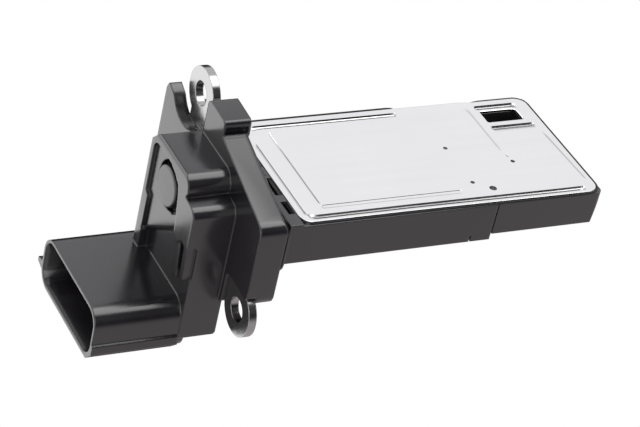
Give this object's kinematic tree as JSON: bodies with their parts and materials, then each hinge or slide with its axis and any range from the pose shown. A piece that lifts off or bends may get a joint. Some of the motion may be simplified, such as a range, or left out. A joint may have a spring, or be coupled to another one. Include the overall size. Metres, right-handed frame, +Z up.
{
  "type": "mass air flow sensor",
  "caption": "Plug-in mass air flow sensor: black moulded blade under a bright metal cover, with a flange, two screw ears and a shrouded connector.",
  "frame": {"origin": "middle of the two screw holes, on the back face of the metal ears that the screws clamp to the air duct", "axes": "+X along the blade from the ears towards its tip, +Y across the blade, +Z up through the blade's metal cover"},
  "size_m": [0.0916, 0.0403, 0.0439],
  "materials": {
    "black_plastic": "satin glass-filled moulding",
    "tip_plastic": "satin glass-filled moulding",
    "lid_plastic": "satin moulding",
    "plug_plastic": "satin moulding",
    "zinc_plated_steel": "bright zinc plate, stamped",
    "aluminium_sheet": "bright satin rolled sheet",
    "seal_rubber": "smooth",
    "board_ceramic": "matt fired",
    "glue": "cured adhesive",
    "sealant": "cured silicone",
    "gel": "soft silicone gel",
    "chip_resin": "moulded epoxy",
    "silicon": "polished silicon",
    "capacitor_ceramic": "fired ceramic",
    "bead_glass": "fused glass bead",
    "lead_metal": "drawn wire",
    "tinned_brass": "tin plated strip",
    "bond_aluminium": "drawn ribbon"
  },
  "bodies": {
    "root": {"housing": "black_plastic", "mounting_plate": "zinc_plated_steel", "tip_housing": "tip_plastic", "metal_cover": "aluminium_sheet", "seal_ring": "seal_rubber", "head_plug": "plug_plastic", "circuit_lid": "lid_plastic", "circuit_board": "board_ceramic", "board_glue": "glue", "cover_sealant": "sealant", "lid_sealant": "sealant", "sealing_gel": "gel", "control_chip": "chip_resin", "flow_chip": "silicon", "capacitor_1": "capacitor_ceramic", "capacitor_2": "capacitor_ceramic", "capacitor_3": "capacitor_ceramic", "thermistor_bead": "bead_glass", "thermistor_lead_1": "lead_metal", "thermistor_lead_2": "lead_metal", "terminal_1": "tinned_brass", "terminal_2": "tinned_brass", "terminal_3": "tinned_brass", "terminal_4": "tinned_brass", "terminal_5": "tinned_brass", "bond_ribbon_1": "bond_aluminium", "bond_ribbon_2": "bond_aluminium", "bond_ribbon_3": "bond_aluminium", "bond_ribbon_4": "bond_aluminium", "bond_ribbon_5": "bond_aluminium"}
  },
  "joints": []
}
